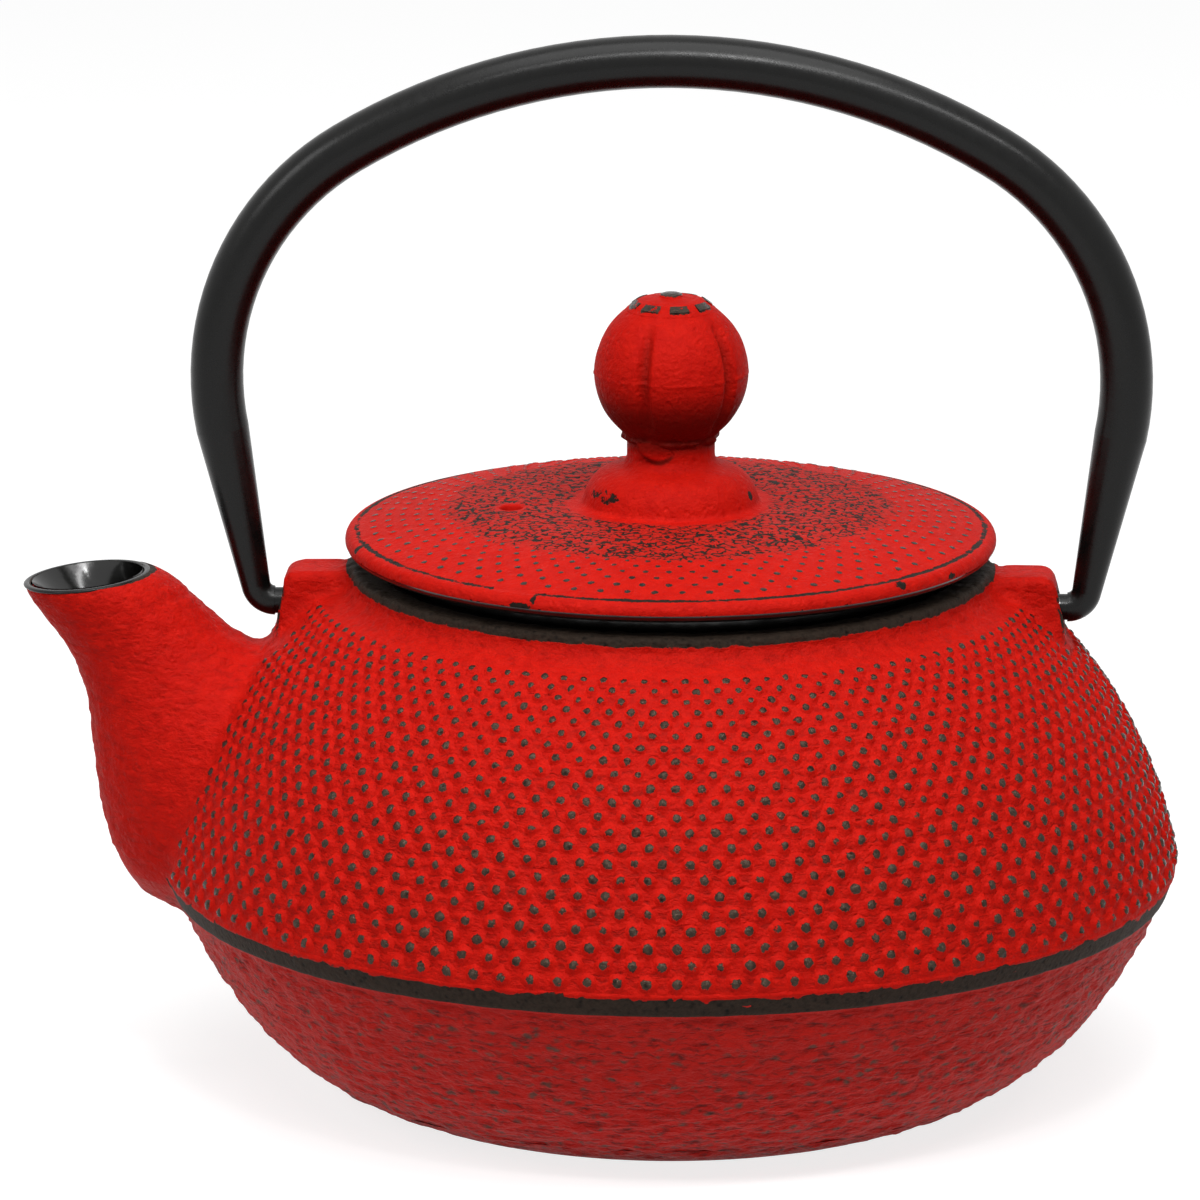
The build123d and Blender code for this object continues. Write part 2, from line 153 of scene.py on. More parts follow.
PAD_OUTER = 0.0062
PAD_HEIGHT = 0.00016

# Wires of the infuser's mesh
WIRE = 0.00042
WIRES_ROUND_WALL = 128
WIRES_UP_WALL = 27
WIRES_ACROSS_FLOOR = 40

# Spacing of the nets of faces that carry cast surfaces
POT_NET = 0.0006
LID_NET = 0.00037
KNOB_NET = 0.00028

# Rows of cast nails
NAILS_PER_ROW = 112
TOP_NAIL_ROW = 0.0768
LOWEST_NAIL_ROW = 0.0350
NAIL_ROW_PITCH = 0.6
NAILS_CLEAR_OF_SPOUT = 0.0030
NAILS_CLEAR_OF_EARS = 0.0016
NAIL_WEAR = (0.92, 1.28)
LID_NAILS_PER_ROW = 70

# Colours of the red paint and of the iron under it
RED_DEEP = (0.56, 0.007, 0.003, 1)
RED_BRIGHT = (0.64, 0.010, 0.004, 1)
# The next two colours are painted shade: one for the creases of folds, one for the knob, its neck and the
# bowl's upper part. The third is a painted sheen for the crackled ring.
RED_CREASE_SHADE = (0.15, 0.004, 0.002, 1)
RED_PAINTED_SHADE = (0.11, 0.006, 0.003, 1)
RED_SHEEN_VEIL = (0.16, 0.055, 0.040, 1)
IRON_DARK = (0.005, 0.0040, 0.0033)
IRON_LIGHT = (0.038, 0.026, 0.019)


# Working at the bench: selecting, joining and applying

def only(piece):
    """Leaves one piece selected and active, in object mode."""
    if bpy.context.object and bpy.context.object.mode != "OBJECT":
        bpy.ops.object.mode_set(mode="OBJECT")
    bpy.ops.object.select_all(action="DESELECT")
    piece.select_set(True)
    bpy.context.view_layer.objects.active = piece
    return piece


def edit(piece):
    """Opens one piece in edit mode with all of it selected."""
    only(piece)
    bpy.ops.object.mode_set(mode="EDIT")
    bpy.ops.mesh.select_mode(type="VERT")
    bpy.ops.mesh.select_all(action="SELECT")


def done():
    """Goes back to object mode."""
    bpy.ops.object.mode_set(mode="OBJECT")


def pick_faces(piece, wanted):
    """Opens a piece in edit mode with only the wanted faces selected, told by their centre and normal."""
    only(piece)
    mesh = piece.data
    mesh.vertices.foreach_set("select", [False] * len(mesh.vertices))
    mesh.edges.foreach_set("select", [False] * len(mesh.edges))
    mesh.polygons.foreach_set("select", [wanted(face.center, face.normal) for face in mesh.polygons])
    bpy.context.tool_settings.mesh_select_mode = (False, False, True)
    bpy.ops.object.mode_set(mode="EDIT")


def cut_away(piece, wanted):
    """Deletes the faces that are wanted away."""
    pick_faces(piece, wanted)
    bpy.ops.mesh.delete(type="FACE")
    done()


def apply(piece, kind, **settings):
    """Adds a modifier to a piece and applies it."""
    only(piece)
    modifier = piece.modifiers.new(kind.title(), kind)
    for name, value in settings.items():
        setattr(modifier, name, value)
    bpy.ops.object.modifier_apply(modifier=modifier.name)


def join(pieces, name):
    """Joins pieces into the first of them."""
    only(pieces[0])
    for piece in pieces:
        piece.select_set(True)
    bpy.ops.object.join()
    pieces[0].name = name
    pieces[0].data.name = name
    return pieces[0]


def merged_copy(node, name):
    """A copy of a CAD node with its loose triangles sewn together."""
    piece = bpy.data.objects.new(name, nodes[node].data.copy())
    bpy.context.scene.collection.objects.link(piece)
    piece.data.materials.clear()
    edit(piece)
    bpy.ops.mesh.remove_doubles(threshold=0.000002)
    bpy.ops.mesh.customdata_custom_splitnormals_clear()
    done()
    return piece


def smooth(piece, angle=40):
    only(piece)
    bpy.ops.object.shade_smooth_by_angle(angle=radians(angle))


def weigh(piece, name, weight):
    """A vertex group whose weight at each point is worked out from the point, in steps of a twentieth."""
    group = piece.vertex_groups.new(name=name)
    steps = {}
    for vertex in piece.data.vertices:
        steps.setdefault(round(20 * weight(vertex.co)), []).append(vertex.index)
    for step, members in steps.items():
        if step > 0:
            group.add(members, step / 20, "REPLACE")


def wear(piece, amount, name="worn"):
    """Writes how bare the iron is at each point, from 0 under whole paint to 1."""
    layer = piece.data.attributes.get(name) or piece.data.attributes.new(name, "FLOAT", "POINT")
    layer.data.foreach_set("value", [amount(v.co, v.normal) for v in piece.data.vertices])


def roughen(piece, kind, size, depth, group="", stretch=(1, 1, 1), **settings):
    """Displaces a piece by a texture whose features have a size and a depth in metres."""
    texture = bpy.data.textures.new(f"{piece.name} {kind.lower()}", kind)
    texture.noise_scale = size
    for name, value in settings.items():
        setattr(texture, name, value)
    guide = bpy.data.objects.new("texture guide", None)
    bpy.context.scene.collection.objects.link(guide)
    guide.scale = stretch
    bpy.context.view_layer.update()
    apply(piece, "DISPLACE", texture=texture, texture_coords="OBJECT", texture_coords_object=guide,
          strength=depth, mid_level=0.5, vertex_group=group)
    bpy.data.objects.remove(guide)


def finish_piece(piece, body, material):
    """Gives a finished piece its material and the body that it rides on."""
    piece.data.materials.clear()
    piece.data.materials.append(material)
    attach(piece, body)
    return piece


def turned(name, outline, steps):
    """A round piece turned about the Z axis from an outline of (radius, height) points.

    The Screw modifier turns it, because it numbers the faces in the same order on each run, and spin doesn't.
    """
    bpy.ops.object.select_all(action="DESELECT")
    bpy.ops.mesh.primitive_plane_add(size=0.001, location=(0, 0, 0))
    piece = bpy.context.object
    piece.name = name
    piece.data.name = name
    edit(piece)
    bpy.ops.mesh.merge(type="CENTER")
    radius, height = outline[0]
    bpy.ops.transform.translate(value=(radius, 0, height))
    for (radius, height), (next_radius, next_height) in zip(outline, outline[1:]):
        step = (next_radius - radius, 0, next_height - height)
        bpy.ops.mesh.extrude_vertices_move(TRANSFORM_OT_translate={"value": step})
    done()
    apply(piece, "SCREW", angle=2 * pi, steps=steps, render_steps=steps)
    edit(piece)
    bpy.ops.mesh.remove_doubles(threshold=0.000001)
    bpy.ops.mesh.normals_make_consistent(inside=False)
    done()
    return piece


def ramp(value, low, high):
    """Rises smoothly from 0 at low to 1 at high, and falls where high is the smaller."""
    share = min(1.0, max(0.0, (value - low) / (high - low)))
    return share * share * (3 - 2 * share)


def gap_to(node, point, limit=0.01):
    """Distance from a point to the surface of a CAD node, or the limit where it is further."""
    found, place, normal, face = nodes[node].closest_point_on_mesh(point, distance=limit)
    return (place - point).length if found else limit


# Shader groups that several finishes share

def new_group(name, inputs, outputs):
    group = bpy.data.node_groups.new(name, "ShaderNodeTree")
    for socket, value in inputs.items():
        made = group.interface.new_socket(name=socket, in_out="INPUT", socket_type="NodeSocketFloat")
        made.default_value = value
    for socket in outputs:
        group.interface.new_socket(name=socket, in_out="OUTPUT", socket_type="NodeSocketFloat")
    return group, group.nodes.new("NodeGroupInput"), group.nodes.new("NodeGroupOutput")


def node(tree, kind, values=None, **settings):
    """Adds a node, sets its options, and sets or links its inputs."""
    made = tree.nodes.new(kind)
    for name, value in settings.items():
        setattr(made, name, value)
    for socket, value in (values or {}).items():
        if isinstance(value, bpy.types.NodeSocket):
            tree.links.new(value, made.inputs[socket])
        else:
            made.inputs[socket].default_value = value
    return made


def reckon(tree, operation, first, second):
    """One step of arithmetic on values that change over the surface."""
    return node(tree, "ShaderNodeMath", {0: first, 1: second}, operation=operation).outputs[0]


def sand_cast_grain():
    """Grain of iron cast in sand: a fine height, with pits, and a mottle."""
    tree, given, result = new_group("sand cast grain", {"Grain": 900.0}, ["Height", "Mottle"])
    place = node(tree, "ShaderNodeTexCoord").outputs["Object"]
    grain = given.outputs["Grain"]
    sand = node(
        tree, "ShaderNodeTexNoise", {"Vector": place, "Scale": grain, "Detail": 5.0, "Roughness": 0.62},
    )
    pit_scale = reckon(tree, "MULTIPLY", grain, 0.55)
    pits = node(tree, "ShaderNodeTexVoronoi", {"Vector": place, "Scale": pit_scale})
    pit = node(
        tree, "ShaderNodeMapRange", {"Value": pits.outputs["Distance"], "From Min": 0.05, "From Max": 0.34},
    )
    broad_scale = reckon(tree, "MULTIPLY", grain, 0.40)
    broad = node(tree, "ShaderNodeTexNoise", {"Vector": place, "Scale": broad_scale, "Detail": 4.0})
    deep = reckon(tree, "MULTIPLY", pit.outputs[0], 0.35)
    tree.links.new(reckon(tree, "ADD", sand.outputs[0], deep), result.inputs["Height"])
    tree.links.new(broad.outputs[0], result.inputs["Mottle"])
    return tree


def chipped_paint():
    """Where paint has gone: a wear value with a ragged limit of fine flecks and larger chips."""
    tree, given, result = new_group(
        "chipped paint", {"Worn": 0.0, "Ragged": 0.8, "Chips": 700.0}, ["Bare"]
    )
    place = node(tree, "ShaderNodeTexCoord").outputs["Object"]
    chips = given.outputs["Chips"]
    flecks = node(
        tree, "ShaderNodeTexNoise", {"Vector": place, "Scale": chips, "Detail": 4.0, "Roughness": 0.6},
    )
    flake_scale = reckon(tree, "MULTIPLY", chips, 0.28)
    flakes = node(tree, "ShaderNodeTexNoise", {"Vector": place, "Scale": flake_scale, "Detail": 2.0})
    both = reckon(tree, "ADD", flecks.outputs[0], flakes.outputs[0])
    shift = reckon(tree, "SUBTRACT", both, 1.0)
    ragged = reckon(tree, "MULTIPLY", shift, given.outputs["Ragged"])
    edge = reckon(tree, "ADD", given.outputs["Worn"], ragged)
    bare = node(
        tree, "ShaderNodeMapRange",
        {"Value": edge, "From Min": 0.44, "From Max": 0.56}, interpolation_type="SMOOTHSTEP",
    )
    tree.links.new(bare.outputs[0], result.inputs["Bare"])
    return tree


def warped_place(tree, scale, reach):
    """Object coordinates pushed about by noise, so that cells in them look natural."""
    place = node(tree, "ShaderNodeTexCoord").outputs["Object"]
    push = node(tree, "ShaderNodeTexNoise", {"Vector": place, "Scale": scale, "Detail": 2.0})
    middle = node(
        tree, "ShaderNodeVectorMath", {0: push.outputs["Color"], 1: (0.5, 0.5, 0.5)}, operation="SUBTRACT",
    )
    step = node(tree, "ShaderNodeVectorMath", {0: middle.outputs[0], "Scale": reach}, operation="SCALE")
    return node(tree, "ShaderNodeVectorMath", {0: place, 1: step.outputs[0]}, operation="ADD").outputs[0]


def crackled_skin():
    """Short forked lines, worn bare, on the folds of a wrinkled skin."""
    tree, given, result = new_group("crackled skin", {"Amount": 0.0, "Cells": 780.0}, ["Bare"])
    place = warped_place(tree, 700.0, 0.0012)
    net = node(
        tree, "ShaderNodeTexVoronoi", {"Vector": place, "Scale": given.outputs["Cells"]},
        feature="DISTANCE_TO_EDGE",
    )
    line = node(
        tree, "ShaderNodeMapRange",
        {"Value": net.outputs["Distance"], "From Min": 0.06, "From Max": 0.18, "To Min": 1.0, "To Max": 0.0},
    )
    patches = node(tree, "ShaderNodeTexNoise", {"Vector": place, "Scale": 900.0, "Detail": 2.0})
    broken = node(
        tree, "ShaderNodeMapRange", {"Value": patches.outputs[0], "From Min": 0.42, "From Max": 0.52},
    )
    marks = reckon(tree, "MULTIPLY", line.outputs[0], broken.outputs[0])
    shown = reckon(tree, "MULTIPLY", marks, given.outputs["Amount"])
    bare = node(tree, "ShaderNodeMapRange", {"Value": shown, "From Min": 0.26, "From Max": 0.55})
    tree.links.new(bare.outputs[0], result.inputs["Bare"])
    return tree


def worn_spots():
    """Soft dark spots where the tops of small bumps have lost their paint."""
    tree, given, result = new_group("worn spots", {"Amount": 0.0, "Cells": 450.0}, ["Bare"])
    place = warped_place(tree, 620.0, 0.0016)
    flat = node(tree, "ShaderNodeMapping", {"Vector": place, "Scale": (1.0, 1.0, 1.5)})
    cells = node(tree, "ShaderNodeTexVoronoi", {"Vector": flat.outputs[0], "Scale": given.outputs["Cells"]})
    chance = node(tree, "ShaderNodeSeparateColor", {"Color": cells.outputs["Color"]})
    size = spread(tree, chance.outputs[1], 0.22, 0.48)
    depth = reckon(tree, "SUBTRACT", size, cells.outputs["Distance"])
    spot = node(tree, "ShaderNodeMapRange", {"Value": depth, "From Min": 0.0, "From Max": 0.30})
    chosen = reckon(tree, "LESS_THAN", chance.outputs[0], given.outputs["Amount"])
    shown = reckon(tree, "MULTIPLY", spot.outputs[0], chosen)
    tree.links.new(reckon(tree, "MULTIPLY", shown, 0.85), result.inputs["Bare"])
    return tree


def fine_wrinkles():
    """Short folds that run round a casting: their height, and painted shade that darkens the grooves between
    them.
    """
    tree, given, result = new_group("fine wrinkles", {"Amount": 0.0, "Folds": 760.0}, ["Groove", "Rise"])
    place = warped_place(tree, 420.0, 0.0016)
    flat = node(tree, "ShaderNodeMapping", {"Vector": place, "Scale": (0.55, 0.55, 1.9)})
    folds = node(
        tree, "ShaderNodeTexNoise",
        {"Vector": flat.outputs[0], "Scale": given.outputs["Folds"], "Detail": 3.0, "Roughness": 0.6},
    )
    # Painted shade: the grooves between the folds are darker.
    dark = node(
        tree, "ShaderNodeMapRange",
        {"Value": folds.outputs[0], "From Min": 0.30, "From Max": 0.50, "To Min": 1.0, "To Max": 0.0},
    )
    middle = reckon(tree, "SUBTRACT", folds.outputs[0], 0.5)
    amount = given.outputs["Amount"]
    tree.links.new(reckon(tree, "MULTIPLY", dark.outputs[0], amount), result.inputs["Groove"])
    tree.links.new(reckon(tree, "MULTIPLY", middle, amount), result.inputs["Rise"])
    return tree


def new_material(name):
    material = bpy.data.materials.new(name)
    material.use_nodes = True
    shader = material.node_tree.nodes["Principled BSDF"]
    return material, material.node_tree, shader


def placed(tree, group, **values):
    """A shader group placed in a material with its own values."""
    made = tree.nodes.new("ShaderNodeGroup")
    made.node_tree = group
    for socket, value in values.items():
        if isinstance(value, bpy.types.NodeSocket):
            tree.links.new(value, made.inputs[socket])
        else:
            made.inputs[socket].default_value = value
    return made


def mixed(tree, share, first, second):
    """A colour between two others."""
    made = tree.nodes.new("ShaderNodeMix")
    made.data_type = "RGBA"
    for socket, value in ((made.inputs[0], share), (made.inputs[6], first), (made.inputs[7], second)):
        if isinstance(value, bpy.types.NodeSocket):
            tree.links.new(value, socket)
        else:
            socket.default_value = value
    return made.outputs[2]


def spread(tree, value, low, high, from_low=0.0, from_high=1.0):
    """A value stretched from one range to another."""
    return node(
        tree, "ShaderNodeMapRange",
        {"Value": value, "From Min": from_low, "From Max": from_high, "To Min": low, "To Max": high},
    ).outputs[0]


def bumped(tree, shader, height, strength, distance):
    """Raises and sinks a shader's surface by a height that changes over it."""
    bump = node(tree, "ShaderNodeBump", {"Strength": strength, "Distance": distance, "Height": height})
    tree.links.new(bump.outputs[0], shader.inputs["Normal"])


GRAIN = sand_cast_grain()
CHIPS = chipped_paint()
CRACKLE = crackled_skin()
SPOTS = worn_spots()
WRINKLES = fine_wrinkles()


def red_painted_iron(name, marks=None, chips=850.0, ragged=0.9, tone=1.0, gloss=0.65, metal=0.10, veil=0.0,
                     sheen=0.07):
    """Satin red paint on sand-cast iron, worn, marked or wrinkled where those attributes say, with painted
    shade in the wrinkles' creases and on places that an attribute marks as shaded, and a painted sheen over
    marked places as far as veil says.
    """
    material, tree, shader = new_material(name)
    worn = node(tree, "ShaderNodeAttribute", attribute_name="worn").outputs["Fac"]
    bare = placed(tree, CHIPS, Worn=worn, Ragged=ragged, Chips=chips).outputs["Bare"]
    if marks:
        marked = node(tree, "ShaderNodeAttribute", attribute_name="marked").outputs["Fac"]
        bare = reckon(tree, "MAXIMUM", bare, placed(tree, marks, Amount=marked).outputs["Bare"])
        # Share of a painted sheen over marked places.
        sheen_veil = reckon(tree, "MULTIPLY", marked, veil)
    wrinkled = node(tree, "ShaderNodeAttribute", attribute_name="wrinkled").outputs["Fac"]
    wrinkles = placed(tree, WRINKLES, Amount=wrinkled)
    grain = placed(tree, GRAIN, Grain=1300.0)
    fresh = mixed(
        tree, spread(tree, grain.outputs["Mottle"], 0.0, 1.0, 0.35, 0.65),
        RED_DEEP, RED_BRIGHT,
    )
    # Painted shade: darker red in the creases of the folds, and on places that an attribute marks as shaded.
    shaded = mixed(tree, wrinkles.outputs["Groove"], fresh, RED_CREASE_SHADE)
    dusky = node(tree, "ShaderNodeAttribute", attribute_name="dusky").outputs["Fac"]
    shaded = mixed(tree, dusky, shaded, RED_PAINTED_SHADE)
    # Painted sheen: a brown-grey veil over marked places, standing in for the grey sheen of worn folds.
    if marks:
        shaded = mixed(tree, sheen_veil, shaded, RED_SHEEN_VEIL)
    iron = mixed(
        tree, spread(tree, grain.outputs["Height"], 0.0, 1.0, 0.40, 0.95),
        [part * tone for part in IRON_DARK] + [1], [part * tone for part in IRON_LIGHT] + [1],
    )
    tree.links.new(mixed(tree, bare, shaded, iron), shader.inputs["Base Color"])
    paint_sheen = spread(tree, grain.outputs["Height"], 0.42, 0.60, 0.3, 0.9)
    rough = node(tree, "ShaderNodeMix", {0: bare, 2: paint_sheen, 3: gloss}).outputs[0]
    tree.links.new(rough, shader.inputs["Roughness"])
    tree.links.new(reckon(tree, "MULTIPLY", bare, metal), shader.inputs["Metallic"])
    lost = reckon(tree, "MULTIPLY", bare, 0.35)
    folds = reckon(tree, "MULTIPLY", wrinkles.outputs["Rise"], 2.6)
    height = reckon(tree, "ADD", reckon(tree, "SUBTRACT", grain.outputs["Height"], lost), folds)
    bumped(tree, shader, height, 0.75, 0.00045)
    shader.inputs["Specular IOR Level"].default_value = sheen
    return material


def black_enamel():
    """Glossy black enamel inside the pot, under the lid and in the spout."""
    material, tree, shader = new_material("black enamel")
    grain = placed(tree, GRAIN, Grain=500.0)
    colour = mixed(tree, grain.outputs["Mottle"], (0.004, 0.004, 0.004, 1), (0.012, 0.012, 0.011, 1))
    tree.links.new(colour, shader.inputs["Base Color"])
    tree.links.new(spread(tree, grain.outputs["Mottle"], 0.10, 0.22), shader.inputs["Roughness"])
    bumped(tree, shader, grain.outputs["Height"], 0.12, 0.0002)
    return material


def satin_black():
    """Baked satin black on the bail, with faint rub marks."""
    material, tree, shader = new_material("satin black")
    grain = placed(tree, GRAIN, Grain=1600.0)
    colour = mixed(tree, grain.outputs["Mottle"], (0.002, 0.002, 0.002, 1), (0.004, 0.004, 0.0035, 1))
    shader.inputs["Specular IOR Level"].default_value = 0.22
    tree.links.new(colour, shader.inputs["Base Color"])
    tree.links.new(spread(tree, grain.outputs["Mottle"], 0.24, 0.31, 0.3, 0.7), shader.inputs["Roughness"])
    bumped(tree, shader, grain.outputs["Height"], 0.10, 0.0001)
    return material


def brushed_steel(name, tone, stretch):
    """Brushed steel whose fine lines run round the piece."""
    material, tree, shader = new_material(name)
    place = node(tree, "ShaderNodeTexCoord").outputs["Object"]
    drawn = node(
        tree, "ShaderNodeMapping", {"Vector": place, "Scale": (0.04 * stretch, 0.04 * stretch, stretch)},
    )
    lines = node(tree, "ShaderNodeTexNoise", {"Vector": drawn.outputs[0], "Scale": 1.0, "Detail": 3.0})
    light = (tone, tone, tone * 0.98, 1)
    dark = (tone * 0.78, tone * 0.78, tone * 0.77, 1)
    tree.links.new(mixed(tree, lines.outputs[0], dark, light), shader.inputs["Base Color"])
    tree.links.new(spread(tree, lines.outputs[0], 0.20, 0.38), shader.inputs["Roughness"])
    shader.inputs["Metallic"].default_value = 1.0
    bumped(tree, shader, lines.outputs[0], 0.08, 0.0001)
    return material


RED_IRON = red_painted_iron("red painted iron")
# The crackled finish carries a painted sheen: a brown-grey veil over its marked ring, standing in for the
# grey sheen of worn folds.
CRACKLED_IRON = red_painted_iron(
    "red painted iron, crackled", CRACKLE, chips=1800.0, ragged=1.0, tone=0.5, gloss=0.60, veil=0.16,
)
SPOTTED_IRON = red_painted_iron("red painted iron, spotted", SPOTS, tone=2.2, gloss=0.55, sheen=0.16)
NAILED_IRON = red_painted_iron(
    "red painted iron, nailed", chips=1900.0, ragged=0.9, tone=1.5, gloss=0.15, metal=0.7,
)
DOTTED_IRON = red_painted_iron("red painted iron, dotted", chips=1900.0, tone=1.2, gloss=0.25, metal=0.3)
BLACK_ENAMEL = black_enamel()
SATIN_BLACK = satin_black()
STEEL = brushed_steel("brushed steel", 0.62, 2600.0)
MESH_STEEL = brushed_steel("woven steel wire", 0.55, 1500.0)


# Pot

def pot_radius(height):
    """Outer radius of the pot at a height, felt from the back, where it has neither spout nor ear."""
    for name in ("pot_bowl", "pot_shoulder", "pot_mouth"):
        hit, place, normal, face = nodes[name].ray_cast(Vector((0, 0.2, height)), Vector((0, -1, 0)))
        if hit:
            return place.y
    return 0.0


def on_spout_line(point):
    """The nearest point on the spout's centre line."""
    best = SPOUT_LINE[0]
    for start, end in zip(SPOUT_LINE, SPOUT_LINE[1:]):
        way = end - start
        share = min(1.0, max(0.0, (point - start).dot(way) / way.length_squared))
        place = start + share * way
        if (place - point).length < (best - point).length:
            best = place
    return best


def faces_inward(centre, normal):
    """True on the walls of the cavity, of the seat and of the spout's bore."""
    in_mouth = hypot(centre.x, centre.y) < MOUTH_BORE + BORE_SPARE
    if in_mouth and FLOOR_INSIDE < centre.z < COLLAR_TOP - BORE_SPARE:
        return True
    core = CAVITY_CORE
    reach = 1.0
    if centre.x < SPOUT_SIDE:
        core = on_spout_line(centre)
        reach = NARROW_BORE if core.z > SPOUT_NARROWS else WIDE_BORE
    inward = core - centre
    return inward.length < reach and normal.dot(inward) > 0.25 * inward.length


def over_mouth(point):
    """How far a point near the spout's mouth lies above the plane of its lip, or a long way below."""
    away = point - SPOUT_LINE[-1]
    return away.dot(MOUTH_AXIS) if away.length < LIP_REACH else -1.0


def spout_join(point):
    """Strong where the spout runs into the pot, and nothing far from their joint."""
    reach = SPOUT_JOINT_REACH
    if point.x > -0.045 or abs(point.y) > 0.034 or point.z < 0.02 or point.z > 0.072:
        return 0.0
    to_spout = gap_to("spout", point, reach)
    if to_spout >= reach:
        return 0.0
    to_pot = min(gap_to("pot_bowl", point, reach), gap_to("pot_shoulder", point, reach))
    return ramp(max(to_spout, to_pot), reach, 0.2 * reach)


def ear_join(point):
    """Strong where an ear runs into the shoulder or the collar."""
    reach = EAR_JOINT_REACH
    if abs(point.x) < 0.046 or abs(point.y) > 0.011 or point.z < 0.064:
        return 0.0
    to_ear = min(gap_to("spout_side_ear", point, reach), gap_to("far_side_ear", point, reach))
    if to_ear >= reach:
        return 0.0
    to_pot = min(gap_to("pot_shoulder", point, reach), gap_to("pot_mouth", point, reach))
    return ramp(max(to_ear, to_pot), reach, 0.2 * reach)


def pot_shells():
    """The pot's seven nodes as one casting with an even net of faces, parted at the ridge."""
    casting = join([merged_copy(part, f"casting_{part}") for part in POT_NODES], "shoulder_shell")
    apply(casting, "REMESH", mode="VOXEL", voxel_size=POT_NET)
    cut_away(casting, faces_inward)
    weigh(casting, "spout lip", lambda point: ramp(abs(over_mouth(point)), 0.0024, 0.0010))
    apply(casting, "SMOOTH", factor=0.5, iterations=10, vertex_group="spout lip")
    weigh(casting, "spout joint", spout_join)
    apply(casting, "SMOOTH", factor=0.5, iterations=80, vertex_group="spout joint")
    weigh(casting, "ear joint", ear_join)
    apply(casting, "SMOOTH", factor=0.5, iterations=16, vertex_group="ear joint")
    pick_faces(casting, lambda centre, normal: centre.z < PARTING_HEIGHT)
    there = set(bpy.data.objects)
    bpy.ops.mesh.separate(type="SELECTED")
    done()
    bowl = [piece for piece in bpy.data.objects if piece not in there][0]
    bowl.name = "bowl_shell"
    bowl.data.name = "bowl_shell"
    pick_faces(bowl, lambda centre, normal: centre.z < FLAT_BOTTOM_TO and normal.z < -0.99)
    bpy.ops.mesh.dissolve_faces()
    done()
    apply(casting, "DECIMATE", ratio=0.76)
    return bowl, casting


def bowl_piece(piece):
    """Lower bowl: fine wrinkles that run round it, with small worn spots, painted shade in the wrinkles'
    creases, and painted shade towards its top.
    """
    weigh(piece, "wrinkles", lambda point: ramp(point.z, BOWL_TOP, 0.0305) * ramp(point.z, 0.0, 0.003))
    roughen(piece, "CLOUDS", 0.0052, 0.00040, "wrinkles", noise_depth=2)
    roughen(piece, "CLOUDS", 0.0019, 0.00090, "wrinkles", stretch=(2.1, 2.1, 0.80), noise_depth=1)
    roughen(piece, "CLOUDS", 0.0015, 0.00030, "wrinkles", noise_depth=1)
    wear(piece, lambda point, normal: 0.5 * ramp(point.z, 0.0009, 0.0001))
    # This attribute also sets painted shade in the creases of the folds.
    wear(piece, lambda point, normal: ramp(point.z, BOWL_TOP, 0.0300) * ramp(point.z, 0.0, 0.002), "wrinkled")

    def spots(point, normal):
        height = ramp(point.z, 0.0315, 0.0240) * ramp(point.z, 0.0010, 0.0060)
        return height * (0.95 + 0.40 * noise.noise(point * 60.0))

    wear(piece, spots, "marked")
    # Painted shade: darker towards the bowl's upper part, under the ridge.
    wear(piece, lambda point, normal: 0.15 * ramp(point.z, 0.008, 0.024), "dusky")
    smooth(piece, 180)
    return finish_piece(piece, "pot", SPOTTED_IRON)


def shoulder_piece(piece):
    """Shoulder, collar, spout and ears: sandy red, worn on the collar's edge and the ears' faces."""
    def sandy(point):
        return ramp(point.z, SAND_FROM, SAND_FULL) * ramp(over_mouth(point), -0.0006, -0.0030)

    weigh(piece, "sand", sandy)
    roughen(piece, "CLOUDS", 0.0060, 0.00020, "sand", noise_depth=2)
    roughen(piece, "CLOUDS", 0.0019, 0.00050, "sand", stretch=(1.25, 1.25, 0.85), noise_depth=1)

    def amount(point, normal):
        radius = hypot(point.x, point.y)
        if over_mouth(point) > -0.0008:
            return ramp(over_mouth(point), -0.0005, -0.0001)
        if radius < COLLAR_RADIUS and point.z > COLLAR_FOOT:
            return ramp(point.z, *COLLAR_WEAR)
        at_ear_face = abs(abs(point.x) - EAR_FACE) < EAR_FACE_SPARE and abs(normal.x) > 0.7
        if at_ear_face and abs(point.y) < EAR_HALF_WIDTH:
            return 0.55
        if point.x < 0 and abs(point.y) < HEEL_HALF_WIDTH:
            return 0.0
        return ramp(point.z, *RIDGE_WEAR) if radius > RIDGE_WEAR_RADIUS else 0.0

    wear(piece, amount)

    # Folds in the relief, with painted shade in their creases.
    def folds(point, normal):
        on_pot = ramp(point.x, -0.068, -0.056) * ramp(point.z, 0.074, 0.066)
        return (0.30 + 0.35 * on_pot) * ramp(point.z, SAND_FROM, SAND_FULL)

    wear(piece, folds, "wrinkled")
    smooth(piece, 180)
    return finish_piece(piece, "pot", RED_IRON)


def pot_inside():
    """Black enamelled cavity, seat and spout bore."""
    piece = join([merged_copy(part, f"inside_{part}") for part in POT_NODES], "pot_inside")
    cut_away(piece, lambda centre, normal: not faces_inward(centre, normal))
    edit(piece)
    bpy.ops.mesh.remove_doubles(threshold=0.00001)
    done()
    smooth(piece)
    return finish_piece(piece, "pot", BLACK_ENAMEL)


